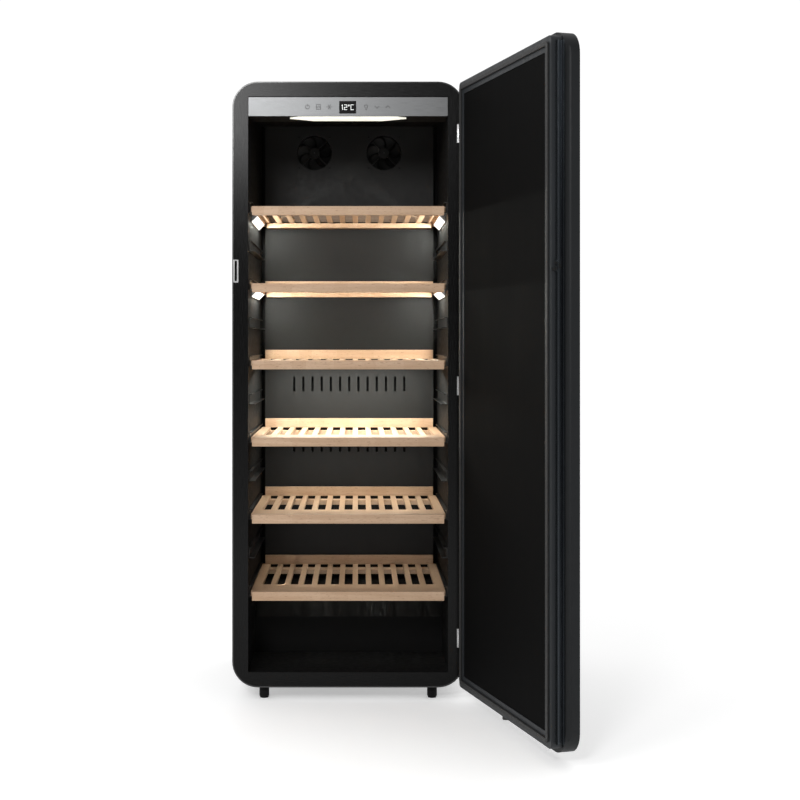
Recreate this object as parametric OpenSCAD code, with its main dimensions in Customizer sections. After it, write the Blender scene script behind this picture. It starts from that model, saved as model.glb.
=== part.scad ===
// Free-standing wine cooler with a right-hinged insulated door.
// Origin: on the floor, under the centre of the cabinet. +Z up, the front faces -Y.

/* [Cabinet] */
// Width of the cabinet and the door
width = 700; // [640:10:760]
// Height of the cabinet without its feet
body_h = 1830; // [1700:10:1900]
// Depth of the cabinet without the door
depth = 640; // [620:5:680]
// Height of the feet under the cabinet
foot_h = 40; // [36:1:50]
// Outer corner radius of the cabinet, seen from the front
corner_r = 78; // [60:1:84]
// Width of the front frame's uprights
stile = 48; // [44:1:56]
// Height of the front frame's top rail
top_rail = 45; // [42:1:56]
// Height of the front frame's bottom rail
bottom_rail = 46; // [44:1:56]
// Thickness of the steel sheets
sheet = 1.2; // [0.8:0.1:1.6]
// Thickness of the plastic liner
skin = 2; // [1.5:0.1:3]

/* [Interior] */
// Distance from the front plane to the air panel at the back
room_d = 540; // [500:5:545]
// Width of the air panel at the back
air_panel_w = 576; // [540:2:590]
// Height above the floor of the lowest shelf's front board
shelf_z = 300; // [296:1:310]
// Spacing of the shelves
shelf_pitch = 233.6; // [228:0.2:236]
// Number of shelves
shelf_count = 6; // [6:1:6]
// Height of the compressor step's front edge above the floor
step_low = 200; // [180:1:210]
// Height of the compressor step's flat top above the floor
step_high = 285; // [275:1:288]

/* [Shelves] */
// Length of a shelf's front board
shelf_w = 582; // [570:1:590]
// Height of a shelf's front board
board_h = 27; // [24:1:30]
// Thickness of a shelf's wooden grid
grid_h = 16; // [12:1:18]
// Width of one slat
slat_w = 17; // [12:1:20]
// Spacing of the slats
slat_pitch = 42.5; // [41:0.5:43]
// Height of the stop at the back of a shelf
stop_h = 30; // [20:1:36]

/* [Door] */
// Opening angle of the door as modelled
door_angle = 106.2; // [90:0.1:120]
// Thickness of the door
door_t = 71; // [68:1:76]
// Thickness of the door's outer pan
pan_t = 40; // [36:1:42]
// How far the pan stands above the cabinet
pan_over_top = 6; // [0:1:12]
// How far the pan hangs below the cabinet
pan_over_bottom = 10; // [0:1:14]
// Corner radius of the pan
pan_r = 62; // [40:1:78]
// Width of the door's inner frame, seen from the inside
inner_border = 38; // [34:1:42]
// Height above the floor where the two grip profiles meet
grip_joint_z = 1284.5; // [1276:0.5:1290]

/* [Fans] */
// Distance of each fan from the middle
fan_x = 119; // [110:1:130]
// Height of the fans above the floor
fan_z = 1732; // [1720:1:1740]
// Radius of the fan opening
fan_r = 60; // [56:1:61]
// Number of blades on a fan
blade_count = 7; // [5:1:9]

/* [Hidden] */
$fn = 48;
half = width / 2;
front = -depth / 2;
z0 = foot_h;
z1 = foot_h + body_h;
room_half = half - stile;
room_z0 = z0 + bottom_rail;
room_z1 = z1 - top_rail;
frame_t = 2;
lip_w = 4;
foam_front = front + frame_t;
rear_sheet_y = 304;
liner_rear_y = 262;
air_panel_y = front + room_d;
air_panel_t = 1.5;
air_panel_z0 = step_high + 2;
step_front_y = -50;
step_top_y = 60;
step_foam = 34;
foam_joint = 0.2;
floor_foam_back = step_front_y + skin + step_foam;
base_half = half - corner_r - 1;

// shelves and their rails
rail_front_y = front + 34;
rail_len = 440;
rail_w = 18;
rail_lip = 10;
rail_t = 2;
rail_gap = 28;
grid_half = 296;
grid_y0 = front + 30;
grid_y1 = front + 536;
board_y0 = front + 10;
front_board_d = 108;
cross_board = [474, 525];
cross_t = 15;
cross_half = 278;
slat_t = 10;
slat_count = 14;

// side lamps, under the rails of the two highest shelves
lamp_y0 = front + 146;
lamp_len = 305;
lamp_lens_t = 2;

// control panel above the opening
icon_line = 1.8;
panel_z0 = 1766;
panel_z1 = room_z1 - 2;
panel_y = front + 1;
panel_t = 3;
panel_icon_z = 1793.5;
icon_xs = [-122.5, -89.6, -56.7, 54.5, 87.4, 120.3];
window_x = -1;
window_size = [51, 38];
housing_d = 120;

// door, described closed and then turned open about the hinge pins
gasket_t = 6;
gasket_gap = 0.05;
door_in = front - gasket_t;
door_out = door_in - door_t;
pan_in = door_out + pan_t;
pan_z0 = z0 - pan_over_bottom;
pan_z1 = z1 + pan_over_top;
frame_inset = 19;
frame_half = half - frame_inset;
frame_z0 = z0 + 9;
frame_z1 = z1 - 9;
frame_r = 12;
pin_x = 338;
pin_y = -332;
pin_r = 3;
pin_clear = 0.05;
knuckle_r = 4.5;
hinge_zs = [189, 951, 1713];
hinge_h = 56;

// lock on the door's free edge, and the slot in the cabinet that its hook enters
lock_y = -331;
lock_z = 1266;
lock_r = 4.5;
hook_x = [-341, -337];
hook_r = [14, 20];
arm_w = 4.4;
slot_x = [-342.5, -335.5];
slot_z = [1268, 1329];
grip_x0 = -346;
grip_x1 = -frame_half;
grip_y0 = -355;
grip_y1 = -338;
grip_wall = 1.5;

// feet
foot_x = 256;
foot_y = -275;
foot_r = 15;
stud_r = 5;

// ---- helpers -------------------------------------------------------------

// flat outline drawn in x and z, extruded from y0 to y1
module slab(y0, y1) {
    translate([0, y1, 0]) rotate([90, 0, 0]) linear_extrude(y1 - y0) children();
}

// outline drawn in y and z, extruded from x0 to x1
module rib(x0, x1) {
    translate([x0, 0, 0]) rotate([90, 0, 90]) linear_extrude(x1 - x0) children();
}

// box between two corners
module block(a, b) {
    translate(a) cube(b - a);
}

// rounded rectangle between two corners
module rounded(x0, y0, x1, y1, r) {
    translate([x0 + r, y0]) square([x1 - x0 - 2 * r, y1 - y0]);
    translate([x0, y0 + r]) square([x1 - x0, y1 - y0 - 2 * r]);
    for (x = [x0 + r, x1 - r], y = [y0 + r, y1 - r])
        translate([x, y]) circle(r, $fn = 96);
}

// the cabinet's outline, drawn in by some distance
module cabinet_outline(inset) {
    rounded(-half + inset, z0 + inset, half - inset, z1 - inset, corner_r - inset);
}

// mirrored copy on the other side of the cabinet
module both_sides() {
    children();
    mirror([1, 0, 0]) children();
}

module rod(a, length, r, axis) {
    turn = axis == "x" ? [0, 90, 0] : axis == "y" ? [-90, 0, 0] : [0, 0, 0];
    translate(a) rotate(turn) cylinder(h = length, r = r);
}

// turns what is drawn for a closed door to the modelled opening angle
module door_open() {
    translate([pin_x, pin_y, 0]) rotate([0, 0, door_angle])
        translate([-pin_x, -pin_y, 0]) children();
}

// ---- cabinet -------------------------------------------------------------

// one sheet bent round the sides, the top and the lower corners, with a front lip
module outer_wrapper() {
    color([0.06, 0.06, 0.06]) difference() {
        slab(front, rear_sheet_y) cabinet_outline(0);
        slab(front + sheet, rear_sheet_y + 1) cabinet_outline(sheet);
        slab(front - 1, front + sheet + 1) cabinet_outline(lip_w);
        block([-base_half - 0.2, front + sheet, z0 - 1],
            [base_half + 0.2, rear_sheet_y + 1, z0 + 2 * sheet]);
    }
}

// flat sheet between the wrapper's lower corners
module base_plate() {
    color([0.35, 0.35, 0.36]) difference() {
        block([-base_half, front + sheet + 0.2, z0], [base_half, rear_sheet_y, z0 + sheet]);
        for (x = [-foot_x, foot_x])
            rod([x, foot_y, z0 - 1], 4, stud_r + 1, "z");
    }
}

module front_frame() {
    color([0.13, 0.13, 0.13]) difference() {
        union() {
            slab(front, foam_front) difference() {
                cabinet_outline(lip_w + 0.2);
                rounded(-room_half, room_z0, room_half, room_z1, 3);
            }
            // pocket behind the slot, which keeps the foam away from the hook
            strike_pocket(1);
        }
        strike_slot();
        strike_pocket(0);
    }
}

module rear_sheet() {
    color([0.2, 0.2, 0.2]) slab(rear_sheet_y, rear_sheet_y + sheet) intersection() {
        cabinet_outline(0);
        translate([-half, 330]) square([width, z1]);
    }
}

// foam ring between the wrapper and the liner, cut to a band of x and z
module foam(x0, z_low, x1, z_high, y0, y1) {
    slab(y0, y1) intersection() {
        cabinet_outline(sheet);
        translate([x0, z_low]) square([x1 - x0, z_high - z_low]);
    }
}

// foam of both sides and of the top, with the lower corners behind the floor
module insulation_walls() {
    color([0.85, 0.8, 0.6]) {
        difference() {
            both_sides() foam(-half, room_z0 - skin, -room_half - skin,
                room_z1 + skin - foam_joint, foam_front, rear_sheet_y);
            strike_pocket(1.1);
        }
        foam(-half, room_z1 + skin, half, z1, foam_front, rear_sheet_y);
        both_sides() foam(-half, z0, -base_half, room_z0 - skin - foam_joint,
            floor_foam_back + foam_joint, rear_sheet_y);
    }
}

module insulation_floor() {
    color([0.85, 0.8, 0.6]) difference() {
        foam(-half, z0 + sheet, half, room_z0 - skin, foam_front, floor_foam_back);
        for (x = [-foot_x, foot_x])
            rod([x, foot_y, z0], 20, stud_r + 1, "z");
    }
}

// corner of the compressor step, moved back from the room by some distance
function step_corner(off) = let (
        run = step_top_y - step_front_y,
        rise = step_high - step_low,
        slope = rise / run,
        along = off * (sqrt(run * run + rise * rise) / run)
    ) [
        [step_front_y + off, step_low - along + off * slope],
        [step_top_y + (along - off) / slope, step_high - off]
    ];

module step_layer(off0, off1, z_low) {
    near = step_corner(off0);
    far = step_corner(off1);
    polygon([
        [near[0][0], z_low], near[0], near[1], [liner_rear_y, step_high - off0],
        [liner_rear_y, step_high - off1], far[1], far[0], [far[0][0], z_low]
    ]);
}

module insulation_step() {
    color([0.85, 0.8, 0.6]) rib(-room_half, room_half)
        step_layer(skin, skin + step_foam, room_z0 - skin);
}

module insulation_rear() {
    color([0.85, 0.8, 0.6]) block(
        [-room_half - skin, liner_rear_y + skin, step_high - skin],
        [room_half + skin, rear_sheet_y, room_z1 + skin]);
}

module liner_sides() {
    color([0.16, 0.16, 0.17]) both_sides() block(
        [-room_half - skin, foam_front, room_z0 - skin],
        [-room_half, liner_rear_y + skin, room_z1 + skin]);
}

module liner_ceiling() {
    color([0.14, 0.14, 0.15]) block([-room_half, foam_front, room_z1],
        [room_half, liner_rear_y, room_z1 + skin]);
}

module liner_floor() {
    color([0.14, 0.14, 0.15]) block([-room_half, foam_front, room_z0 - skin],
        [room_half, step_front_y, room_z0]);
}

module liner_step() {
    color([0.16, 0.16, 0.17]) rib(-room_half, room_half)
        step_layer(0, skin, room_z0 - skin);
}

module liner_rear() {
    color([0.14, 0.14, 0.15]) block([-room_half, liner_rear_y, step_high - skin],
        [room_half, liner_rear_y + skin, room_z1 + skin]);
}

// ---- air circulation -----------------------------------------------------

vent_zs = [708, 915];
vent_h = 52;
vent_w = 8;
vent_pitch = 31.4;
vent_count = 13;
fan_size = 120;
fan_y0 = air_panel_y + air_panel_t;
fan_d = 25;
fan_hole = 52.5;
fan_screw_r = 1.7;
shaft_r = 2;

module at_fan_screws() {
    for (x = [-fan_x, fan_x], i = [-1, 1], j = [-1, 1])
        translate([x + i * fan_hole, air_panel_y, fan_z + j * fan_hole]) children();
}

module air_panel() {
    hw = air_panel_w / 2;
    color([0.17, 0.17, 0.18]) difference() {
        block([-hw, air_panel_y, air_panel_z0], [hw, liner_rear_y, room_z1 - 2]);
        block([-hw + air_panel_t, fan_y0, air_panel_z0 + air_panel_t],
            [hw - air_panel_t, liner_rear_y + 1, room_z1 - 2 - air_panel_t]);
        for (x = [-fan_x, fan_x])
            rod([x, air_panel_y - 1, fan_z], 5, fan_r, "y");
        for (z = vent_zs, i = [0 : vent_count - 1])
            translate([(i - (vent_count - 1) / 2) * vent_pitch - vent_w / 2, 0, 0])
                slab(air_panel_y - 1, fan_y0 + 1)
                    rounded(0, z, vent_w, z + vent_h, vent_w / 2 - 0.01);
        at_fan_screws() rod([0, -1, 0], 5, fan_screw_r + 0.1, "y");
    }
}

// square fan frame with a hub carried by four struts at the front
module fan_frame(x) {
    strut_w = 4;
    hub_r = 18;
    bore = fan_r - 2;
    strut_t = 3;
    translate([x, fan_y0, fan_z]) difference() {
        slab(0, fan_d) difference() {
            rounded(-fan_size / 2, -fan_size / 2, fan_size / 2, fan_size / 2, 6);
            for (i = [-1, 1], j = [-1, 1])
                translate([i * fan_hole, j * fan_hole]) circle(fan_screw_r + 0.1);
            circle(shaft_r + 0.02);
        }
        slab(strut_t, fan_d + 1) circle(bore);
        slab(-1, strut_t + 1) difference() {
            circle(bore);
            circle(hub_r);
            for (a = [45, 135]) rotate(a) square([2 * fan_size, strut_w], center = true);
        }
    }
}

module fan_frames() {
    color([0.08, 0.08, 0.08]) for (x = [-fan_x, fan_x]) fan_frame(x);
}

// stator can behind the hub, with the shaft that the rotor runs on
module fan_motors() {
    color([0.3, 0.3, 0.32]) for (x = [-fan_x, fan_x])
        translate([x, fan_y0, fan_z]) {
            rod([0, 0, 0], 20, shaft_r, "y");
            rod([0, 3, 0], 3, 14, "y");
        }
}

module fan_screws() {
    color([0.6, 0.6, 0.6]) at_fan_screws() {
        rod([0, -1.6, 0], 1.6, 3.4, "y");
        rod([0, -0.1, 0], 22, fan_screw_r, "y");
    }
}

module fan_rotor(x) {
    hub_r = 19;
    hub_y = 7;
    hub_d = 13;
    blade_r = fan_r - 3;
    color([0.05, 0.05, 0.05]) translate([x, fan_y0, fan_z]) difference() {
        union() {
            rod([0, hub_y, 0], hub_d, hub_r, "y");
            intersection() {
                rod([0, hub_y, 0], hub_d, blade_r, "y");
                for (i = [0 : blade_count - 1]) rotate([0, i * 360 / blade_count, 0])
                    translate([0, hub_y + hub_d / 2, 0]) rotate([38, 0, 0])
                        translate([hub_r - 2, -12, -0.8]) cube([blade_r, 24, 1.6]);
            }
        }
        rod([0, hub_y - 1, 0], hub_d + 2, shaft_r + pin_clear, "y");
    }
}

module fan_rotor_left() { fan_rotor(-fan_x); }

module fan_rotor_right() { fan_rotor(fan_x); }

// finned coil in the duct behind the air panel
module evaporator() {
    coil_half = 220;
    coil_z = [1240, 1560];
    fin_pitch = 11;
    tube_rows = 5;
    row_pitch = (coil_z[1] - coil_z[0]) / tube_rows;
    color([0.75, 0.75, 0.77]) {
        for (x = [-coil_half : fin_pitch : coil_half])
            block([x - 0.5, 228, coil_z[0]], [x + 0.5, 258, coil_z[1]]);
        for (i = [0 : tube_rows - 1])
            rod([-coil_half - 12, 243, coil_z[0] + (i + 0.5) * row_pitch],
                2 * coil_half + 24, 4, "x");
    }
}

// ---- cooling machinery ---------------------------------------------------

comp_x = -130;
comp_y = 175;
comp_r = 82;
comp_floor = z0 + sheet;
comp_z = comp_floor + 14;
comp_h = 146;

// sealed steel pot with rounded edges on a base plate, with three pipe stubs
module compressor() {
    edge = 26;
    color([0.05, 0.05, 0.05]) {
        translate([comp_x, comp_y, comp_z + 3]) rotate_extrude($fn = 72) {
            square([comp_r - edge, comp_h - 3]);
            translate([0, edge]) square([comp_r, comp_h - 3 - 2 * edge]);
            intersection() {
                square([comp_r, comp_h]);
                for (z = [edge, comp_h - 3 - edge])
                    translate([comp_r - edge, z]) circle(edge);
            }
        }
        difference() {
            block([comp_x - 100, comp_y - 62, comp_z], [comp_x + 100, comp_y + 62, comp_z + 3.5]);
            at_comp_mounts() rod([0, 0, comp_z - 1], 6, 6, "z");
        }
        for (i = [0 : 2])
            rod([comp_x + comp_r - 6, comp_y - 24 + 24 * i, comp_z + 60], 28, 3.5, "x");
    }
}

module at_comp_mounts() {
    for (i = [-1, 1], j = [-1, 1])
        translate([comp_x + i * 86, comp_y + j * 50, 0]) children();
}

module compressor_mounts() {
    color([0.1, 0.1, 0.1]) at_comp_mounts() {
        rod([0, 0, comp_floor], comp_z - comp_floor, 11, "z");
        rod([0, 0, comp_z - 1], 7, 5.8, "z");
    }
}

// open tray on top of the compressor that catches and evaporates defrost water
module drip_pan() {
    pan_z = comp_z + comp_h;
    color([0.12, 0.12, 0.12]) difference() {
        block([comp_x - 70, comp_y - 70, pan_z], [comp_x + 70, comp_y + 70, pan_z + 26]);
        block([comp_x - 68, comp_y - 68, pan_z + 2], [comp_x + 68, comp_y + 68, pan_z + 30]);
    }
}

// serpentine tube on four upright strips, held off the rear sheet by them
module condenser() {
    tube_r = 2.4;
    tube_y = rear_sheet_y + sheet + 8;
    rows = 16;
    row_pitch = 66;
    low = 430;
    run = 240;
    color([0.09, 0.09, 0.09]) {
        for (i = [0 : rows - 1]) {
            rod([-run, tube_y, low + i * row_pitch], 2 * run, tube_r, "x");
            for (side = [-1, 1])
                translate([side * run, tube_y, low + i * row_pitch]) sphere(tube_r, $fn = 24);
        }
        for (i = [0 : rows - 2])
            rod([i % 2 == 0 ? run : -run, tube_y, low + i * row_pitch], row_pitch, tube_r, "z");
        for (x = [-205, -70, 70, 205])
            block([x - 8, rear_sheet_y + sheet, low - 14],
                [x + 8, tube_y, low + (rows - 1) * row_pitch + 14]);
    }
}

module rear_grille() {
    color([0.1, 0.1, 0.1]) difference() {
        slab(rear_sheet_y, rear_sheet_y + sheet) intersection() {
            cabinet_outline(0);
            translate([-half, z0]) square([width, 329.6 - z0]);
        }
        for (x = [-288 : 24 : 192], z = [100, 200])
            slab(rear_sheet_y - 1, rear_sheet_y + 3) rounded(x, z, x + 10, z + 80, 4.9);
        block([248, rear_sheet_y - 2, 96], [292, rear_sheet_y + 3, 128]);
    }
}

// three-pin mains inlet in the rear grille; its socket opens to the back
module power_inlet() {
    y1 = rear_sheet_y + sheet + 2;
    color([0.08, 0.08, 0.08]) {
        difference() {
            union() {
                block([249, y1 - 24, 97], [291, y1 - 2, 127]);
                block([244, y1 - 2, 92], [296, y1, 132]);
            }
            block([257, y1 - 20, 103], [283, y1 + 1, 121]);
        }
        for (p = [[262, 110], [270, 114], [278, 110]])
            block([p[0] - 1, y1 - 21, p[1] - 2], [p[0] + 1, y1 - 6, p[1] + 2]);
    }
}

// ---- controls and lamps --------------------------------------------------

module control_panel() {
    wx = window_size[0] / 2;
    wz = window_size[1] / 2;
    color([0.72, 0.72, 0.73]) difference() {
        slab(panel_y, panel_y + panel_t)
            rounded(-room_half + 1, panel_z0, room_half - 1, panel_z1, 1.5);
        block([window_x - wx, panel_y - 1, panel_icon_z - 1 - wz],
            [window_x + wx, panel_y + 1, panel_icon_z - 1 + wz]);
    }
}

module control_housing() {
    z_low = panel_z0 + 2;
    color([0.07, 0.07, 0.07]) difference() {
        block([-room_half + 2, panel_y + panel_t, z_low],
            [room_half - 2, panel_y + housing_d, room_z1]);
        block([-room_half + 4, panel_y + panel_t + 2, z_low + 2],
            [room_half - 4, panel_y + housing_d - 2, room_z1 + 1]);
    }
}

module display_window() {
    wx = window_size[0] / 2;
    wz = window_size[1] / 2;
    color([0.02, 0.02, 0.02]) block(
        [window_x - wx, panel_y - 0.4, panel_icon_z - 1 - wz],
        [window_x + wx, panel_y + 1, panel_icon_z - 1 + wz]);
}

// lit strokes of one character on a 9 by 16 grid, each stroke [x, z, length, height]
digit_1 = [[3.8, 0, 1.3, 16], [1.9, 12.9, 2, 1.3]];
digit_2 = [[0, 14.7, 9, 1.3], [7.7, 7.35, 1.3, 7.45], [0, 7.35, 7.8, 1.3],
    [0, 1.2, 1.3, 6.25], [0, 0, 9, 1.3]];
letter_c = [[0, 14.7, 9, 1.3], [0, 0, 9, 1.3], [0, 1.2, 1.3, 13.6]];

module strokes(list, x) {
    for (s = list)
        translate([x + s[0], s[1]]) square([s[2], s[3]]);
}

module display_digits() {
    color([0.95, 0.98, 1]) translate([window_x - 18.5, 0, panel_icon_z - 9])
        slab(panel_y - 0.7, panel_y - 0.4) {
            strokes(digit_1, -2);
            strokes(digit_2, 7.5);
            difference() {
                translate([21.6, 13.4]) circle(2.4);
                translate([21.6, 13.4]) circle(1.3);
            }
            strokes(letter_c, 27.5);
        }
}

// generic symbols on the touch keys, each about 17 mm across
module ring(r, t) {
    difference() {
        circle(r);
        circle(r - t);
    }
}

module icon_lamp() {
    translate([0, 2]) ring(5.6, icon_line);
    translate([-2.4, -6.4]) square([4.8, 1.5]);
    translate([-2.4, -9]) square([4.8, 1.5]);
}

module icon_box() {
    difference() {
        square([14, 16], center = true);
        square([14 - 2 * icon_line, 16 - 2 * icon_line], center = true);
    }
    translate([-5.3, -icon_line / 2]) square([10.6, icon_line]);
}

module icon_star() {
    for (a = [0, 60, 120]) rotate(a) square([17, icon_line], center = true);
}

module icon_chevron(up) {
    mirror([0, up ? 0 : 1]) for (side = [0, 1]) mirror([side, 0])
        translate([-0.9, 3.5]) rotate(-45) square([10.5, 1.9]);
}

module icon_power() {
    difference() {
        ring(6.8, icon_line);
        translate([-2.2, 2.5]) square([4.4, 7]);
    }
    translate([-icon_line / 2, 1.2]) square([icon_line, 7]);
}

module touch_icons() {
    color([0.45, 0.45, 0.46]) slab(panel_y - 0.3, panel_y) translate([0, panel_icon_z]) {
        translate([icon_xs[0], 0]) icon_power();
        translate([icon_xs[1], 0]) icon_box();
        translate([icon_xs[2], 0]) icon_star();
        translate([icon_xs[3], 0]) icon_lamp();
        translate([icon_xs[4], 0]) icon_chevron(false);
        translate([icon_xs[5], 0]) icon_chevron(true);
    }
}

module control_board() {
    by = panel_y + panel_t + 6;
    color([0.1, 0.3, 0.15]) {
        block([-130, by, panel_z0 + 10], [130, by + 1.6, panel_z1 - 8]);
        for (x = [-90, -20, 60])
            block([x, by + 1.5, panel_z0 + 20], [x + 30, by + 8, panel_z0 + 36]);
    }
}

// long lens under the control housing, with pointed ends
module ceiling_lamp_lens() {
    lens_half = 177;
    y0 = front + 20;
    y1 = front + 80;
    color([1, 0.95, 0.8]) translate([0, 0, panel_z0 - 2]) linear_extrude(4)
        polygon([[-lens_half, front + 40], [-lens_half + 27, y0], [lens_half - 27, y0],
            [lens_half, front + 40], [lens_half - 72, y1], [-lens_half + 72, y1]]);
}

function shelf_bottom(i) = shelf_z + (shelf_count - i) * shelf_pitch;
function ledge_z(i) = shelf_bottom(i) + board_h - grid_h;

// slanted lamp bodies in the corner between wall and rail, two on each side
module lamp_section(low, high) {
    polygon([[-room_half + low, 0], [-room_half + high, 0], [-room_half, -high],
        [-room_half, -low]]);
}

module side_lamps(low, high) {
    both_sides() for (i = [1, 2])
        translate([0, 0, ledge_z(i) - rail_t]) slab(lamp_y0, lamp_y0 + lamp_len)
            lamp_section(low, high);
}

module side_lamp_housings() {
    color([0.6, 0.6, 0.6]) side_lamps(0, rail_w - lamp_lens_t);
}

module side_lamp_lenses() {
    color([1, 0.96, 0.85]) side_lamps(rail_w - lamp_lens_t, rail_w);
}

// ---- shelf rails ---------------------------------------------------------

rail_levels = [for (i = [0 : 2 * (shelf_count - 1)]) ledge_z(1) - i * shelf_pitch / 2];

// channel that carries a shelf's edge from below and holds it down from above
module rail_section() {
    translate([-room_half, -rail_t]) square([rail_w, rail_t]);
    translate([-room_half, -rail_t]) square([rail_t, rail_gap + 2 * rail_t]);
    translate([-room_half, rail_gap]) square([rail_lip, rail_t]);
}

module shelf_rails() {
    color([0.1, 0.1, 0.1]) both_sides() for (z = rail_levels)
        translate([0, 0, z]) slab(rail_front_y, rail_front_y + rail_len) rail_section();
}

module rail_end_caps() {
    color([0.05, 0.05, 0.05]) both_sides() for (z = rail_levels)
        translate([0, 0, z]) slab(rail_front_y - 4, rail_front_y) rail_section();
}

// wooden grid of slats on a cross board, with a front board and a rear stop
module shelf(i) {
    z = shelf_bottom(i);
    gz = ledge_z(i);
    slat_z = gz + grid_h - slat_t;
    slat_half = (slat_count - 1) / 2 * slat_pitch;
    color([0.82, 0.64, 0.44]) {
        // front board
        slab(board_y0, grid_y0) rounded(-shelf_w / 2, z, shelf_w / 2, z + board_h, 1.5);
        // flat board behind it
        block([-grid_half, grid_y0, gz], [grid_half, grid_y0 + front_board_d, gz + grid_h]);
        // stringers that run in the rails
        for (s = [-1, 1])
            translate([s * (grid_half - 6), 0, 0])
                block([-6, grid_y0 + front_board_d, gz], [6, grid_y1, gz + grid_h]);
        // cross board under the slats, between the rails
        block([-cross_half, front + cross_board[0], slat_z - cross_t],
            [cross_half, front + cross_board[1], slat_z]);
        // slats
        for (x = [-slat_half : slat_pitch : slat_half])
            block([x - slat_w / 2, grid_y0 + front_board_d, slat_z],
                [x + slat_w / 2, grid_y1 - 2, gz + grid_h]);
        // rear stop, on top of the slats
        block([-grid_half + 10, grid_y1 - 10, gz + grid_h - 1],
            [grid_half - 10, grid_y1, gz + grid_h + stop_h]);
    }
}

module shelf_1() { shelf(1); }

module shelf_2() { shelf(2); }

module shelf_3() { shelf(3); }

module shelf_4() { shelf(4); }

module shelf_5() { shelf(5); }

module shelf_6() { shelf(6); }

// ---- lock and hinges -----------------------------------------------------

// slot through the strike plate and the frame
module strike_slot() {
    block([slot_x[0], front - 3, slot_z[0]], [slot_x[1], foam_front + 1, slot_z[1]]);
}

// pocket behind the slot, deep enough below it for the hook to catch
module strike_pocket(grow) {
    block([slot_x[0] - grow, foam_front - grow, slot_z[0] - 14 - grow],
        [slot_x[1] + grow, foam_front + 14 + grow, slot_z[1] + 2 + grow]);
}

module strike_plate() {
    color([0.55, 0.55, 0.56]) difference() {
        slab(front - 1.5, front) rounded(-347, 1263, -331, 1332, 2);
        strike_slot();
    }
}

module hinge_leaves_cabinet() {
    leaf_x = [329, 335];
    color([0.85, 0.85, 0.85]) for (z = hinge_zs) difference() {
        union() {
            block([leaf_x[0], front - 2, z - hinge_h / 2], [leaf_x[1], front, z + hinge_h / 2]);
            block([leaf_x[1] - 2, pin_y, z - 12], [leaf_x[1] + 3, front, z + 12]);
            rod([pin_x, pin_y, z - 12], 24, knuckle_r, "z");
        }
        rod([pin_x, pin_y, z - 13], 26, pin_r + 0.02, "z");
    }
}

module hinge_pins() {
    color([0.7, 0.7, 0.7]) for (z = hinge_zs)
        rod([pin_x, pin_y, z - hinge_h / 2], hinge_h, pin_r, "z");
}

module hinge_leaves_door() {
    color([0.85, 0.85, 0.85]) door_open() for (z = hinge_zs) difference() {
        union() {
            block([frame_half, pan_in + 2, z - hinge_h / 2],
                [frame_half + 1.6, door_in - 4, z + hinge_h / 2]);
            for (low = [-hinge_h / 2, 12.5]) {
                rod([pin_x, pin_y, z + low], hinge_h / 2 - 12.5, knuckle_r, "z");
                block([frame_half, pin_y - knuckle_r, z + low],
                    [pin_x, pin_y, z + low + hinge_h / 2 - 12.5]);
            }
        }
        rod([pin_x, pin_y, z - hinge_h], 2 * hinge_h, pin_r + pin_clear, "z");
    }
}

// ---- door ----------------------------------------------------------------

module pan_outline(inset) {
    rounded(-half + inset, pan_z0 + inset, half - inset, pan_z1 - inset, pan_r - inset);
}

module inner_outline(inset) {
    rounded(-frame_half + inset, frame_z0 + inset, frame_half - inset, frame_z1 - inset,
        max(frame_r - inset, 3));
}

// flute along both long edges of the pan, which fades out in its corners
module pan_flute() {
    flute_r = 10;
    for (s = [-1, 1])
        rod([s * (half + 6), pan_in - 8, pan_z0], pan_z1 - pan_z0, flute_r, "z");
}

module door_shell() {
    color([0.2, 0.21, 0.23]) door_open() difference() {
        slab(door_out, pan_in) pan_outline(0);
        slab(door_out + sheet, pan_in - sheet) pan_outline(5.5);
        slab(pan_in - 2 * sheet, pan_in + 1) inner_outline(6);
        pan_flute();
    }
}

// foam block inside the pan and the inner frame
module door_core() {
    color([0.85, 0.8, 0.6]) door_open() {
        slab(door_out + sheet, pan_in - sheet) pan_outline(5.5);
        slab(pan_in - sheet, door_in - 6) inner_outline(inner_border - 10);
    }
}

module door_frame() {
    color([0.22, 0.23, 0.25]) door_open() difference() {
        slab(pan_in, door_in) inner_outline(0);
        slab(door_in - 6, door_in + 1) inner_outline(inner_border);
        slab(pan_in - 1, door_in - 5.9) inner_outline(inner_border - 10);
        // bearing of the lock
        rod([-half, lock_y, lock_z], half - frame_half + 8, pin_r + pin_clear, "x");
    }
}

module door_inner_panel() {
    color([0.04, 0.04, 0.04]) door_open()
        slab(door_in - 6, door_in - 1.5) inner_outline(inner_border);
}

module door_gasket() {
    color([0.05, 0.05, 0.05]) door_open() slab(door_in, front - gasket_gap) difference() {
        inner_outline(12);
        inner_outline(24);
    }
}

// channel that opens to the side for the fingers, with a gap for the lock's hook
module grip(z_low, z_high) {
    difference() {
        block([grip_x0, grip_y0, z_low], [grip_x1, grip_y1, z_high]);
        block([grip_x0 - 1, grip_y0 + grip_wall, z_low - 1],
            [grip_x1 - grip_wall, grip_y1 - grip_wall, z_high + 1]);
        block([slot_x[0], grip_y1 - 3, lock_z - 6],
            [slot_x[1], grip_y1 + 1, lock_z + hook_r[1] + 4]);
    }
}

module grip_upper() {
    color([0.3, 0.31, 0.34]) door_open() grip(grip_joint_z + 0.8, frame_z1 - 14);
}

module grip_lower() {
    color([0.3, 0.31, 0.34]) door_open() grip(frame_z0 + 14, grip_joint_z - 0.8);
}

// hook that curls round the slot's lower end when it is turned towards the cabinet
module hook_profile() {
    intersection() {
        difference() {
            circle(hook_r[1]);
            circle(hook_r[0]);
        }
        polygon([for (a = [90, 130, 170]) 2 * hook_r[1] * [cos(a), sin(a)], [0, 0]]);
    }
    rotate(160) translate([0, -arm_w / 2]) square([(hook_r[0] + hook_r[1]) / 2, arm_w]);
}

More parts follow.
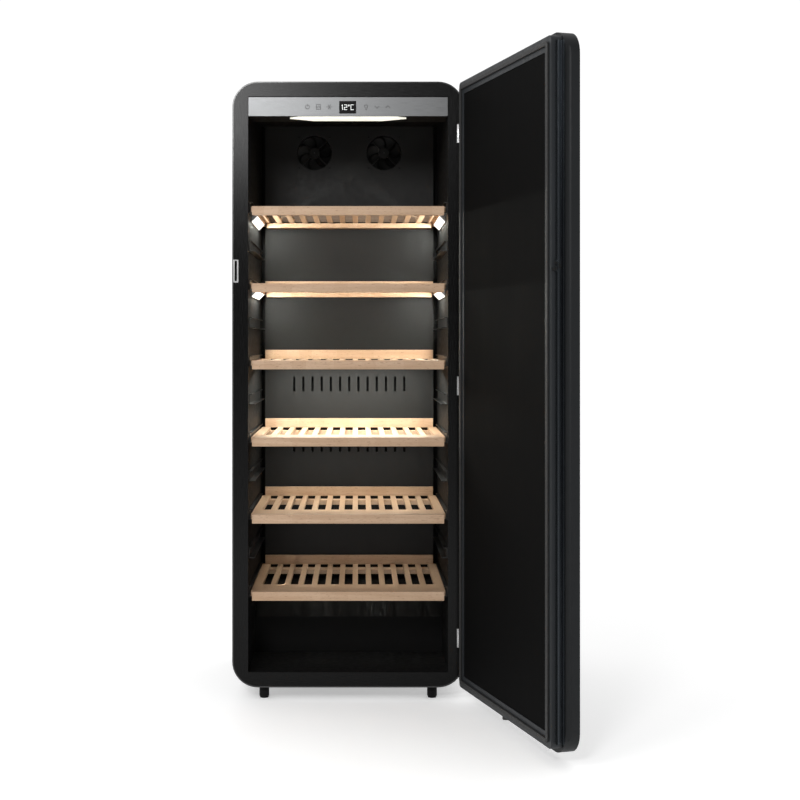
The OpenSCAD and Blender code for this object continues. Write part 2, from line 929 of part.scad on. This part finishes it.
// key cylinder with its hook, which is hidden in the door while unlocked
module lock_cylinder() {
    color([0.6, 0.6, 0.6]) door_open() difference() {
        union() {
            rod([grip_x0 - 1, lock_y, lock_z], hook_x[0] - grip_x0 + 1.5, lock_r, "x");
            rod([hook_x[0], lock_y, lock_z], 15, pin_r, "x");
            rib(hook_x[0], hook_x[1]) translate([lock_y, lock_z]) hook_profile();
        }
        block([grip_x0 - 2, lock_y - 0.6, lock_z - 3], [grip_x0 + 3, lock_y + 0.6, lock_z + 3]);
    }
}

module door_glide() {
    color([0.05, 0.05, 0.05]) door_open() rod([75, pan_in - 16, pan_z0 - 15], 15, 12, "z");
}

// ---- feet ----------------------------------------------------------------

module foot_plates() {
    color([0.1, 0.1, 0.1]) for (x = [-foot_x, foot_x]) difference() {
        union() {
            block([x - 30, foot_y - 25, z0 - 4], [x + 30, foot_y + 25, z0]);
            rod([x, foot_y, z0 - 12], 9, 14, "z");
        }
        rod([x, foot_y, 0], z0 + 1, stud_r + pin_clear, "z");
    }
}

module levelling_foot(x) {
    color([0.06, 0.06, 0.06]) {
        rod([x, foot_y, 0], 6, foot_r - 2, "z");
        rod([x, foot_y, 5], z0 - 18, foot_r, "z");
        rod([x, foot_y, z0 - 14], 29, stud_r, "z");
    }
}

module foot_front_left() { levelling_foot(-foot_x); }

module foot_front_right() { levelling_foot(foot_x); }

module rear_feet() {
    color([0.06, 0.06, 0.06]) for (x = [-foot_x, foot_x]) {
        rod([x, -foot_y, 0], 10, foot_r, "z");
        rod([x, -foot_y, 9], z0 - 9, 9, "z");
    }
}

// ---- one line per sub-part -----------------------------------------------

outer_wrapper();
base_plate();
front_frame();
rear_sheet();
insulation_walls();
insulation_floor();
insulation_step();
insulation_rear();
liner_sides();
liner_ceiling();
liner_floor();
liner_step();
liner_rear();
air_panel();
fan_frames();
fan_motors();
fan_screws();
fan_rotor_left();
fan_rotor_right();
evaporator();
compressor();
compressor_mounts();
drip_pan();
condenser();
rear_grille();
power_inlet();
control_panel();
control_housing();
display_window();
display_digits();
touch_icons();
control_board();
ceiling_lamp_lens();
side_lamp_housings();
side_lamp_lenses();
shelf_rails();
rail_end_caps();
strike_plate();
hinge_leaves_cabinet();
hinge_pins();
foot_plates();
rear_feet();
foot_front_left();
foot_front_right();
door_shell();
door_frame();
door_inner_panel();
door_core();
door_gasket();
grip_upper();
grip_lower();
hinge_leaves_door();
door_glide();
lock_cylinder();
shelf_1();
shelf_2();
shelf_3();
shelf_4();
shelf_5();
shelf_6();
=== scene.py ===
"""Looks of the wine cooler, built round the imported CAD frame. Metres, in the part's own frame."""

import math

import bmesh
import bpy
from mathutils import Matrix, Vector


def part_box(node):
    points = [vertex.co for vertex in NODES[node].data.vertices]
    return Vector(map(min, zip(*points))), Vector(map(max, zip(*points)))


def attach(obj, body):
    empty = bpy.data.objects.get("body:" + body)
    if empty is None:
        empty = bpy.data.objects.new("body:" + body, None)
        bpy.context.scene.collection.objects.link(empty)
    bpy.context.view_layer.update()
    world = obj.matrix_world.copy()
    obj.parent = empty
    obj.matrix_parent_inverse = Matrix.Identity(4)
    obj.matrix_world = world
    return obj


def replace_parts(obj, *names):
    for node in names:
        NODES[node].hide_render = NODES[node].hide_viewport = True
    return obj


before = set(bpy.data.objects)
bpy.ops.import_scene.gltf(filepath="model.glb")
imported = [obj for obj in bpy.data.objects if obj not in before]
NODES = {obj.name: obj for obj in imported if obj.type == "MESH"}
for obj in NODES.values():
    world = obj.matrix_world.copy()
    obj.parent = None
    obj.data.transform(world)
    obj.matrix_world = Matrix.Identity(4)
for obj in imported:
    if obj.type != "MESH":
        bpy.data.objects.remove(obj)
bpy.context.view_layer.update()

# places and sizes of the CAD pieces that the looks have to meet
DOOR_ANGLE = math.radians(106.2)    # how far open the door stands at rest
PIN = Vector((0.338, -0.332, 0.0))  # axis of the door's hinges
# takes a point of the closed door to where it is at rest
DOOR = Matrix.Translation(PIN) @ Matrix.Rotation(DOOR_ANGLE, 4, "Z") @ Matrix.Translation(-PIN)
FAN_X, FAN_Z = 0.119, 1.732         # axes of the two fans, at -FAN_X and FAN_X
FRAME_SIDE_X = 0.302                # beyond this the front frame is one of its upright sides
FRONT_BOARD_END = -0.182            # a shelf's front board ends here
REAR_STOP_START = 0.2059            # and its rear stop starts here
SLAT_PITCH = 0.0425


# ---- camera ------------------------------------------------------------------

CAMERA_PLACE = (0.030, -4.370, 1.0744)
SENSOR_MM, LENS_MM = 36.0, 60.345
SHIFT_X, SHIFT_Y = 0.0525, -0.06875


def make_camera():
    """Level camera; the shifts put the cabinet where it stands in the frame."""
    data = bpy.data.cameras.new("camera")
    data.sensor_width = SENSOR_MM
    data.lens = LENS_MM
    data.shift_x = SHIFT_X
    data.shift_y = SHIFT_Y
    data.clip_end = 100.0
    cam = bpy.data.objects.new("camera", data)
    cam.location = CAMERA_PLACE
    cam.rotation_euler = (math.radians(90), 0, 0)
    bpy.context.scene.collection.objects.link(cam)
    bpy.context.scene.camera = cam


# ---- node helpers ------------------------------------------------------------

class Shader:
    """A material's node tree, with short calls for the nodes used here."""

    def __init__(self, name, **values):
        self.mat = bpy.data.materials.new(name)
        self.mat.use_nodes = True
        self.tree = self.mat.node_tree
        self.bsdf = self.tree.nodes["Principled BSDF"]
        for key, value in values.items():
            self.bsdf.inputs[key.replace("_", " ")].default_value = value
        self.place = self.add("ShaderNodeTexCoord").outputs["Object"]

    def add(self, kind, **props):
        node = self.tree.nodes.new(kind)
        for key, value in props.items():
            setattr(node, key, value)
        return node

    def link(self, a, b):
        self.tree.links.new(a, b)

    def feed(self, node, values):
        """Set a node's inputs: a socket is linked, a plain value is written in."""
        for key, value in values.items():
            if hasattr(value, "is_linked"):
                self.link(value, node.inputs[key])
            else:
                node.inputs[key].default_value = value
        return node

    def stretched(self, scale):
        return self.feed(self.add("ShaderNodeMapping"), {0: self.place, 3: scale}).outputs[0]

    def noise(self, scale=(1, 1, 1), size=100.0, detail=3.0, rough=0.5):
        where = self.stretched(scale)
        node = self.feed(self.add("ShaderNodeTexNoise"), {
            "Vector": where, "Scale": size, "Detail": detail, "Roughness": rough})
        return node.outputs["Fac"]

    def cells(self, scale=(1, 1, 1), size=100.0):
        node = self.feed(self.add("ShaderNodeTexVoronoi"), {
            "Vector": self.stretched(scale), "Scale": size})
        return node.outputs["Distance"]

    def math(self, op, a, b=0.0):
        return self.feed(self.add("ShaderNodeMath", operation=op), {0: a, 1: b}).outputs[0]

    def spread(self, fac, low, high, from_low=0.3, from_high=0.7):
        return self.feed(self.add("ShaderNodeMapRange"), {
            0: fac, 1: from_low, 2: from_high, 3: low, 4: high}).outputs[0]

    def axis(self, index):
        node = self.feed(self.add("ShaderNodeSeparateXYZ"), {0: self.place})
        return node.outputs[index]

    def blend(self, fac, a, b):
        node = self.add("ShaderNodeMix", data_type="RGBA")
        self.feed(node, {0: fac})
        for slot, value in ((6, a), (7, b)):
            if hasattr(value, "is_linked"):
                self.link(value, node.inputs[slot])
            else:
                node.inputs[slot].default_value = (*value, 1.0)
        return node.outputs[2]

    def pick(self, fac, a, b):
        node = self.add("ShaderNodeMix", data_type="FLOAT")
        return self.feed(node, {0: fac, 2: a, 3: b}).outputs[0]

    def colour(self, socket):
        self.link(socket, self.bsdf.inputs["Base Color"])

    def roughness(self, socket):
        self.link(socket, self.bsdf.inputs["Roughness"])

    def bump(self, height, depth, strength=1.0, edge=0.0):
        node = self.feed(self.add("ShaderNodeBump"), {
            "Height": height, "Strength": strength, "Distance": depth})
        if edge:
            soft = self.add("ShaderNodeBevel", samples=4)
            soft.inputs["Radius"].default_value = edge
            self.link(soft.outputs[0], node.inputs["Normal"])
        self.link(node.outputs[0], self.bsdf.inputs["Normal"])


def grey(v, tint=0.0):
    """A grey; tint makes it bluer."""
    return (v * (1 - tint), v, v * (1 + tint))


def painted(name, low, high, rough, metal=0.0, peel=0.00003, size=900.0, tint=0.0, coat=0.0,
        specular=0.5):
    """Sprayed or plated sheet with a faint orange peel."""
    s = Shader(name, Metallic=metal)
    s.bsdf.inputs["Specular IOR Level"].default_value = specular
    cloud = s.noise(size=3.0, detail=4.0)
    s.colour(s.blend(cloud, grey(low, tint), grey(high, tint)))
    s.roughness(s.spread(s.noise(size=35.0, detail=5.0), rough - 0.05, rough + 0.06))
    s.bump(s.noise(size=size, detail=2.0), peel, edge=0.0006)
    if coat:
        s.bsdf.inputs["Coat Weight"].default_value = coat
        s.bsdf.inputs["Coat Roughness"].default_value = 0.18
    return s.mat


def moulded(name, low, high, rough, grain=0.00006, size=1400.0, tint=0.0, specular=0.5):
    """Moulded plastic with a fine eroded grain."""
    s = Shader(name)
    s.bsdf.inputs["Specular IOR Level"].default_value = specular
    s.colour(s.blend(s.noise(size=5.0, detail=5.0), grey(low, tint), grey(high, tint)))
    s.roughness(s.spread(s.noise(size=60.0, detail=4.0), rough - 0.05, rough + 0.07))
    s.bump(s.cells(size=size), grain, strength=0.7, edge=0.0005)
    return s.mat


def brushed(name, low, high, rough, along=None, tint=0.0, depth=0.00002, edge=0.0004):
    """Metal with fine lines along one axis; the frame's lines follow each of its sides."""
    s = Shader(name, Metallic=1.0, Anisotropic=0.5)
    short, long = 1.0, 0.012
    upright = s.noise(scale=(short, 30.0, long), size=2200.0, detail=3.0)
    level = s.noise(scale=(long, 30.0, short), size=2200.0, detail=3.0)
    if along == "z":
        lines = upright
    elif along == "x":
        lines = level
    else:
        side = s.math("GREATER_THAN", s.math("ABSOLUTE", s.axis(0)), FRAME_SIDE_X)
        lines = s.pick(side, level, upright)
    s.colour(s.blend(s.spread(lines, 0.0, 1.0), grey(low, tint), grey(high, tint)))
    s.roughness(s.spread(lines, rough - 0.06, rough + 0.08))
    s.bump(lines, depth, strength=0.6, edge=edge)
    return s.mat


def beech(name, shift):
    """Steamed beech: long soft grain, short dark ray flecks, each slat a little different."""
    s = Shader(name, Roughness=0.5)
    at = (shift * 3.1, shift * 1.7, 0.0)

    def grain(scale, size, detail):
        move = s.feed(s.add("ShaderNodeMapping"), {0: s.place, 1: at, 3: scale}).outputs[0]
        node = s.feed(s.add("ShaderNodeTexNoise"), {
            "Vector": move, "Scale": size, "Detail": detail, "Distortion": 0.6})
        return node.outputs["Fac"]

    # the grain runs along x in the front board and the rear stop, and along y in the slats
    in_front = s.math("LESS_THAN", s.axis(1), FRONT_BOARD_END)
    in_stop = s.math("GREATER_THAN", s.axis(1), REAR_STOP_START)
    across = s.math("MAXIMUM", in_front, in_stop)
    bands = s.pick(across, grain((1, 0.05, 1), 60.0, 4.0), grain((0.05, 1, 1), 60.0, 4.0))
    pores = s.pick(across, grain((1, 0.03, 1), 700.0, 3.0), grain((0.03, 1, 1), 700.0, 3.0))
    flecks = s.pick(across, grain((1, 0.22, 1), 420.0, 1.0), grain((0.22, 1, 1), 420.0, 1.0))
    # number of the slat; eight pitches keep it above zero
    board = s.math("FLOOR", s.math("DIVIDE", s.math("ADD", s.axis(0), 8 * SLAT_PITCH), SLAT_PITCH))
    own = s.feed(s.add("ShaderNodeTexWhiteNoise", noise_dimensions="1D"), {
        "W": s.math("ADD", board, shift)}).outputs["Value"]
    early_wood, late_wood = (0.54, 0.380, 0.258), (0.42, 0.268, 0.160)
    dark_slat, fleck, pore = (0.39, 0.240, 0.137), (0.24, 0.134, 0.070), (0.28, 0.168, 0.090)
    base = s.blend(s.spread(bands, 0.0, 1.0, 0.25, 0.75), late_wood, early_wood)
    toned = s.blend(s.math("MULTIPLY", own, 0.35), base, dark_slat)
    marked = s.blend(s.spread(flecks, 0.0, 0.55, 0.62, 0.72), toned, fleck)
    s.colour(s.blend(s.spread(pores, 0.0, 0.35, 0.55, 0.75), marked, pore))
    s.roughness(s.spread(bands, 0.42, 0.58))
    relief = s.math("ADD", pores, s.math("MULTIPLY", flecks, 0.5))
    s.bump(relief, 0.00012, strength=0.6, edge=0.0012)
    return s.mat


def lit(name, colour, strength, rough=0.35):
    """A lamp's lens: frosted plastic, a little brighter over each diode behind it."""
    s = Shader(name, Roughness=rough)
    diodes = s.spread(s.noise(scale=(1, 1, 0.2), size=45.0, detail=1.0), 0.85, 1.12)
    s.colour(s.blend(diodes, (0.75, 0.73, 0.68), (0.92, 0.90, 0.85)))
    s.bsdf.inputs["Emission Color"].default_value = (*colour, 1.0)
    s.link(s.math("MULTIPLY", diodes, strength), s.bsdf.inputs["Emission Strength"])
    s.bump(s.cells(size=1500.0), 0.00004)
    return s.mat


def smooth_black(name, low, high, rough, specular=0.5):
    """Smooth black face: a few faint wipe marks in its roughness, nothing in its shape."""
    s = Shader(name)
    s.bsdf.inputs["Specular IOR Level"].default_value = specular
    wipe = s.noise(scale=(1.0, 1.0, 0.25), size=9.0, detail=6.0, rough=0.65)
    s.colour(s.blend(wipe, grey(low), grey(high)))
    s.roughness(s.spread(wipe, rough - 0.03, rough + 0.05))
    s.bump(s.noise(size=4.0, detail=1.0), 0.00006, strength=0.3)
    return s.mat


def foam(name):
    """Cut polyurethane foam with its cells open."""
    s = Shader(name, Roughness=0.95)
    s.colour(s.blend(s.noise(size=60.0, detail=5.0), (0.70, 0.60, 0.36), (0.86, 0.78, 0.54)))
    s.bump(s.cells(size=700.0), 0.0004)
    return s.mat


def soft_rubber(name, low=0.012, high=0.022):
    s = Shader(name)
    s.colour(s.blend(s.noise(size=20.0, detail=4.0), grey(low), grey(high)))
    s.roughness(s.spread(s.noise(size=150.0, detail=3.0), 0.55, 0.75))
    s.bump(s.noise(size=2500.0, detail=2.0), 0.00005)
    return s.mat


def circuit(name):
    """Green board lacquer, with its copper tracks just showing through."""
    s = Shader(name, Roughness=0.3)
    tracks = s.cells(scale=(1, 1, 2.5), size=130.0)
    s.colour(s.blend(s.spread(tracks, 0.0, 1.0, 0.05, 0.1), (0.02, 0.16, 0.07), (0.01, 0.09, 0.04)))
    s.bump(tracks, 0.00005)
    return s.mat


def printed(name, low, high):
    """Thin screen print."""
    s = Shader(name)
    s.colour(s.blend(s.noise(size=900.0, detail=2.0), grey(low), grey(high)))
    s.roughness(s.spread(s.noise(size=500.0), 0.35, 0.5))
    return s.mat


def materials():
    """Give each CAD node its material; pieces not named here are plain black plastic."""
    black_plastic = moulded("plastic_black", 0.010, 0.018, 0.42)
    dark_paint = painted("paint_back", 0.022, 0.032, 0.55)
    steel = brushed("steel_bright", 0.55, 0.72, 0.26, along="z")
    yellow_foam = foam("foam")
    door_metal = painted("door_paint", 0.006, 0.010, 0.52, tint=0.13, peel=0.00008, size=1700.0,
        specular=0.22)
    rubber = soft_rubber("rubber_black")
    liner = moulded("liner", 0.008, 0.011, 0.55, specular=0.06)
    chosen = {
        "outer_wrapper": painted("paint_black", 0.006, 0.010, 0.30, coat=0.3),
        "base_plate": painted("galvanised", 0.30, 0.42, 0.45, metal=1.0, size=90.0),
        "front_frame": brushed("frame_dark", 0.010, 0.016, 0.25),
        "strike_plate": brushed("strike_steel", 0.34, 0.46, 0.34, along="z"),
        "rear_sheet": dark_paint, "rear_grille": dark_paint,
        "liner_sides": liner, "liner_ceiling": liner, "liner_floor": liner,
        "liner_step": liner, "liner_rear": liner,
        "air_panel": moulded("air_panel", 0.011, 0.015, 0.46, specular=0.18),
        "fan_motors": brushed("motor_can", 0.05, 0.08, 0.45, along="z"),
        "fan_screws": moulded("screw_black", 0.005, 0.008, 0.5, specular=0.15),
        "fan_rotor_left": moulded("blade_black", 0.004, 0.007, 0.5, specular=0.18),
        "evaporator": brushed("fins", 0.65, 0.8, 0.35, along="z"),
        "compressor": painted("pot_black", 0.008, 0.014, 0.24, coat=0.5),
        "compressor_mounts": rubber, "door_gasket": rubber,
        "condenser": painted("wire_black", 0.010, 0.016, 0.38),
        "control_panel": brushed("panel_silver", 0.100, 0.132, 0.33, along="x", tint=0.015),
        "display_window": smooth_black("window_black", 0.002, 0.004, 0.08),
        "display_digits": lit("digits_lit", (0.86, 0.95, 1.0), 0.62),
        "touch_icons": printed("icon_print", 0.030, 0.050),
        "control_board": circuit("board_green"),
        "ceiling_lamp_lens": lit("lens_warm", (1.0, 0.99, 0.84), 0.80),
        "side_lamp_housings": brushed("lamp_alu", 0.55, 0.7, 0.35, along="x"),
        "side_lamp_lenses": lit("lens_side", (1.0, 0.98, 0.92), 1.3),
        "shelf_rails": brushed("rail_black", 0.030, 0.045, 0.38, along="x"),
        "hinge_leaves_cabinet": steel, "hinge_pins": steel, "hinge_leaves_door": steel,
        "foot_plates": moulded("foot_black", 0.003, 0.006, 0.6, specular=0.12),
        "door_shell": door_metal,
        "door_frame": moulded("door_frame_plastic", 0.016, 0.023, 0.50, tint=0.12,
            specular=0.3),
        "door_inner_panel": smooth_black("inner_black", 0.0028, 0.0042, 0.75, specular=0.03),
        "grip_upper": brushed("grip_dark", 0.045, 0.065, 0.30, along="z", tint=0.12,
            edge=0.0016),
        "lock_cylinder": brushed("lock_steel", 0.020, 0.030, 0.5, along="x"),
    }
    chosen["grip_lower"] = chosen["grip_upper"]
    for name in ("fan_rotor_right", "fan_frames", "control_housing"):
        chosen[name] = chosen["fan_rotor_left"]
    for name in ("foot_front_left", "foot_front_right", "rear_feet"):
        chosen[name] = chosen["foot_plates"]
    for i in range(1, 7):
        chosen[f"shelf_{i}"] = beech(f"beech_{i}", i * 1.37)
    for name, node in NODES.items():
        if name.startswith("insulation") or name == "door_core":
            mat = yellow_foam
        else:
            mat = chosen.get(name, black_plastic)
        node.data.materials.clear()
        node.data.materials.append(mat)
    return chosen, steel, rubber


# ---- pieces with more shape than the CAD solids ------------------------------

SHARP_EDGE = math.radians(35)


def new_object(name, bm, mat, body):
    """Make a smooth-shaded piece from a bmesh, riding on a body."""
    mesh = bpy.data.meshes.new(name)
    bmesh.ops.recalc_face_normals(bm, faces=bm.faces)
    bm.to_mesh(mesh)
    bm.free()
    for face in mesh.polygons:
        face.use_smooth = True
    obj = bpy.data.objects.new(name, mesh)
    bpy.context.scene.collection.objects.link(obj)
    mesh.materials.append(mat)
    mesh.set_sharp_from_angle(angle=SHARP_EDGE)
    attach(obj, body)
    return obj


def lathe(bm, profile, centre, turns=64):
    """Solid turned about the Y axis through centre; profile is a closed list of (radius, y)."""
    rings = []
    for r, y in profile:
        if r == 0:
            rings.append([bm.verts.new(centre + Vector((0, y, 0)))])
            continue
        rings.append([])
        for k in range(turns):
            a = 2 * math.pi * k / turns
            rings[-1].append(bm.verts.new(centre + Vector((r * math.cos(a), y, r * math.sin(a)))))
    for a, b in zip(rings, rings[1:]):
        for k in range(turns):
            n = (k + 1) % turns
            if len(a) == 1 and len(b) > 1:
                bm.faces.new((a[0], b[k], b[n]))
            elif len(b) == 1 and len(a) > 1:
                bm.faces.new((a[k], a[n], b[0]))
            elif len(a) > 1:
                bm.faces.new((a[k], a[n], b[n], b[k]))


def fan_rotor(side, mat):
    """Hub with rounded cap and seven twisted, swept blades, in the space of the CAD rotor."""
    low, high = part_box(f"fan_rotor_{side}")
    y0, y1 = low.y, high.y
    # seven blades make the box lopsided: its middle isn't the shaft's place
    shaft = Vector((FAN_X if side == "right" else -FAN_X, 0, FAN_Z))
    bore, hub, root, tip = 0.0021, 0.0190, 0.0182, 0.0566
    bm = bmesh.new()
    lathe(bm, [
        (bore, y0), (0.0165, y0), (0.0185, y0 + 0.0012), (hub, y0 + 0.0028),
        (hub, y1 - 0.0006), (0.0184, y1), (bore, y1), (bore, y0)], shaft)
    bmesh.ops.remove_doubles(bm, verts=bm.verts, dist=1e-6)
    blades, spans, chords = 7, 10, 6
    thick, margin, deepest_camber = 0.0012, 0.0012, 0.0010
    depth = y1 - y0 - 2 * margin - thick
    tip_sweep = math.radians(24)
    for b in range(blades):
        start = 2 * math.pi * b / blades
        grid = {}
        for i in range(spans + 1):
            t = i / spans  # 0 at the hub, 1 at the tip
            r = root + t * (tip - root)
            half = math.radians(17 + 5 * math.sin(math.pi * t))
            sweep = tip_sweep * t * t
            for j in range(chords + 1):
                u = j / chords  # 0 at one edge of the blade, 1 at the other
                a = start + sweep + (u - 0.5) * 2 * half
                pitch = 0.12 + 0.76 * u * (1 - 0.25 * t)
                y = y0 + margin + depth * pitch + deepest_camber * math.sin(math.pi * u)
                for k in (0, 1):
                    grid[i, j, k] = bm.verts.new((
                        shaft.x + r * math.cos(a), y + k * thick, shaft.z + r * math.sin(a)))
        for i in range(spans):
            for j in range(chords):
                for k in (0, 1):
                    bm.faces.new([grid[i, j, k], grid[i + 1, j, k],
                        grid[i + 1, j + 1, k], grid[i, j + 1, k]])
        # the thin walls between the blade's two faces
        edges = ([(i, 0) for i in range(spans + 1)] + [(spans, j) for j in range(1, chords + 1)]
            + [(i, chords) for i in range(spans - 1, -1, -1)]
            + [(0, j) for j in range(chords - 1, 0, -1)])
        for p, q in zip(edges, edges[1:] + edges[:1]):
            bm.faces.new([grid[(*p, 0)], grid[(*q, 0)], grid[(*q, 1)], grid[(*p, 1)]])
    rotor = new_object(f"fan_blades_{side}", bm, mat, f"fan_{side}")
    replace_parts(rotor, f"fan_rotor_{side}")


def corner_path(x0, z0, x1, z1, r, steps=8):
    """Points and outward directions round a rounded rectangle."""
    out = []
    west, east, south, north = x0 + r, x1 - r, z0 + r, z1 - r
    for cx, cz, a0 in ((east, north, 0), (west, north, 90), (west, south, 180), (east, south, 270)):
        for k in range(steps + 1):
            a = math.radians(a0 + 90 * k / steps)
            out.append(((cx + r * math.cos(a), cz + r * math.sin(a)), (math.cos(a), math.sin(a))))
    return out


def gasket(mat):
    """Magnetic seal: a soft foot, two bellows folds and a flat sealing face."""
    half_x, low_z, high_z, front = 0.331, 0.049, 1.861, -0.326  # the door's inner face, closed
    inset, corner = 0.018, 0.008
    section = [  # (outwards from the seal's middle line, away from the door)
        (-0.0050, 0.0000), (0.0050, 0.0000), (0.0052, 0.0008), (0.0034, 0.0015), (0.0034, 0.0021),
        (0.0050, 0.0028), (0.0058, 0.0036), (0.0058, 0.0050), (0.0048, 0.0058), (-0.0048, 0.0058),
        (-0.0058, 0.0050), (-0.0058, 0.0036), (-0.0050, 0.0028), (-0.0034, 0.0021),
        (-0.0034, 0.0015), (-0.0052, 0.0008)]
    bm = bmesh.new()
    rings = []
    path = corner_path(-half_x + inset, low_z + inset, half_x - inset, high_z - inset, corner)
    for (x, z), (nx, nz) in path:
        rings.append([bm.verts.new(DOOR @ Vector((x + nx * o, front + h, z + nz * o)))
            for o, h in section])
    for a, b in zip(rings, rings[1:] + rings[:1]):
        for k in range(len(section)):
            n = (k + 1) % len(section)
            bm.faces.new((a[k], a[n], b[n], b[k]))
    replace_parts(new_object("door_seal", bm, mat, "door"), "door_gasket")


def tube(bm, a, b, r, sides=8):
    """Thin capped cylinder from a to b."""
    way = (b - a).normalized()
    turn = Vector((0, 0, 1)).rotation_difference(way).to_matrix()
    ends = []
    for p in (a, b):
        ends.append([bm.verts.new(p + turn @ Vector((
            r * math.cos(2 * math.pi * k / sides), r * math.sin(2 * math.pi * k / sides), 0)))
            for k in range(sides)])
    for k in range(sides):
        n = (k + 1) % sides
        bm.faces.new((ends[0][k], ends[0][n], ends[1][n], ends[1][k]))
    bm.faces.new(ends[0][::-1])
    bm.faces.new(ends[1])


def condenser_wires(mat):
    """Upright wires welded to both sides of the condenser's tube, clear of its four straps."""
    low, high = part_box("condenser")
    wires, first_x, pitch, radius, end_gap = 27, -0.221, 0.017, 0.0008, 0.004
    tube_y, off_tube = high.y - 0.0024, 0.0030
    straps, strap_room = (-0.205, -0.070, 0.070, 0.205), 0.0092
    bm = bmesh.new()
    for k in range(wires):
        x = first_x + k * pitch
        for y in (tube_y - off_tube, tube_y + off_tube):
            if y < tube_y and any(abs(x - strap) < strap_room for strap in straps):
                continue
            tube(bm, Vector((x, y, low.z + end_gap)), Vector((x, y, high.z - end_gap)), radius)
    new_object("condenser_wires", bm, mat, "cabinet")


def screw_heads(name, places, out, mat, body):
    """Low round heads with a round recess; out is the way they face."""
    radius, height = 0.0042, 0.0014
    bm = bmesh.new()
    for p in places:
        part = bmesh.new()
        lathe(part, [
            (0, 0), (radius, 0), (radius, height * 0.35), (radius * 0.82, height * 0.8),
            (radius * 0.45, height), (radius * 0.40, height * 0.45), (0, height * 0.4)],
            Vector(), turns=20)
        turn = Vector((0, 1, 0)).rotation_difference(out).to_matrix().to_4x4()
        part.transform(Matrix.Translation(p) @ turn)
        mesh = bpy.data.meshes.new("part")
        part.to_mesh(mesh)
        part.free()
        bm.from_mesh(mesh)
        bpy.data.meshes.remove(mesh)
    new_object(name, bm, mat, body)


def grille_screws(mat):
    """Four screws along the grille's top edge and one low on each side."""
    low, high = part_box("rear_grille")
    from_side, inner, from_top, from_bottom = 0.020, 0.225, 0.014, 0.100
    xs = (low.x + from_side, low.x + inner, high.x - inner, high.x - from_side)
    places = [Vector((x, high.y, high.z - from_top)) for x in xs]
    places += [Vector((x, high.y, low.z + from_bottom)) for x in (xs[0], xs[3])]
    screw_heads("grille_screws", places, Vector((0, 1, 0)), mat, "cabinet")


# ---- light and surroundings --------------------------------------------------

def lamp(name, place, aim, size, power, colour=(1, 1, 1), along=(0, 0, 1)):
    """Area light at place, facing aim; its second size runs as nearly as it can along `along`."""
    data = bpy.data.lights.new(name, "AREA")
    data.shape = "RECTANGLE"
    data.size, data.size_y = size
    data.energy = power
    data.color = colour
    obj = bpy.data.objects.new(name, data)
    back = (Vector(place) - Vector(aim)).normalized()
    side = Vector(along).cross(back).normalized()
    turn = Matrix((side, back.cross(side), back)).transposed()
    obj.matrix_world = Matrix.Translation(place) @ turn.to_4x4()
    obj.visible_camera = False
    bpy.context.scene.collection.objects.link(obj)


def surroundings():
    """White studio: the world is dim towards -y and bright towards +y."""
    dim, bright, dim_to, bright_from = 0.32, 1.05, -0.5, 0.3
    floor_glow = 0.32
    world = bpy.data.worlds.new("studio")
    bpy.context.scene.world = world
    world.use_nodes = True
    tree = world.node_tree
    background = tree.nodes["Background"]
    background.inputs["Color"].default_value = (1, 1, 1, 1)
    split = tree.nodes.new("ShaderNodeSeparateXYZ")
    tree.links.new(tree.nodes.new("ShaderNodeTexCoord").outputs["Generated"], split.inputs[0])
    fade = tree.nodes.new("ShaderNodeMapRange")
    for slot, value in ((1, dim_to), (2, bright_from), (3, dim), (4, bright)):
        fade.inputs[slot].default_value = value
    tree.links.new(split.outputs[1], fade.inputs[0])
    tree.links.new(fade.outputs[0], background.inputs["Strength"])
    bpy.context.scene.view_settings.view_transform = "Standard"
    bpy.ops.mesh.primitive_plane_add(size=60, location=(0, 0, 0))
    floor = bpy.context.object
    floor.name = "studio_floor"
    s = Shader("studio_floor", Roughness=0.6)
    s.colour(s.blend(s.noise(size=1.5), (0.90, 0.90, 0.90), (0.93, 0.93, 0.93)))
    floor.data.materials.append(s.mat)
    s.bsdf.inputs["Emission Color"].default_value = (1, 1, 1, 1)
    s.bsdf.inputs["Emission Strength"].default_value = floor_glow
    lamp("key", (-2.2, -3.0, 3.2), (0, 0, 1.2), (1.6, 1.6), 38)
    lamp("fill", (2.6, -3.4, 2.0), (0, -0.3, 1.0), (2.0, 2.0), 6)
    lamp("corner_box", (-0.95, -4.37, 2.60), (-0.30, -0.32, 1.75), (0.85, 0.80), 58)


def inner_lamps():
    """What the lenses give off, as area lights just outside them."""
    white = (0.97, 1.0, 0.93)
    across = (0, 1, 0)
    low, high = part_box("ceiling_lamp_lens")
    mid = (low + high) / 2
    lamp("ceiling_glow", (mid.x, mid.y, low.z - 0.002), (mid.x, mid.y + 0.01, 0), (0.32, 0.05),
        0.28, white, along=across)
    lens_x, lens_y, below = 0.2905, -0.0215, 0.0125
    for i, z in ((1, 1.479), (2, 1.2454)):
        for side in (-1, 1):
            p = Vector((side * lens_x, lens_y, z - below))
            aim = p + Vector((-side, 0.0, -0.9))
            lamp(f"side_glow_{i}_{side}", p, aim, (0.012, 0.30), 2.2, white, along=across)
    # light that comes down through the slats to the next two spaces
    for z, power in ((0.995, 6.2), (0.761, 0.5)):
        lamp(f"slat_glow_{z}", (0, 0.0, z), (0, 0.10, 0), (0.50, 0.35), power, white, along=across)


make_camera()
looks, bright_steel, black_rubber = materials()
for which in ("left", "right"):
    fan_rotor(which, looks["fan_rotor_left"])
gasket(black_rubber)
condenser_wires(looks["condenser"])
grille_screws(bright_steel)
surroundings()
inner_lamps()
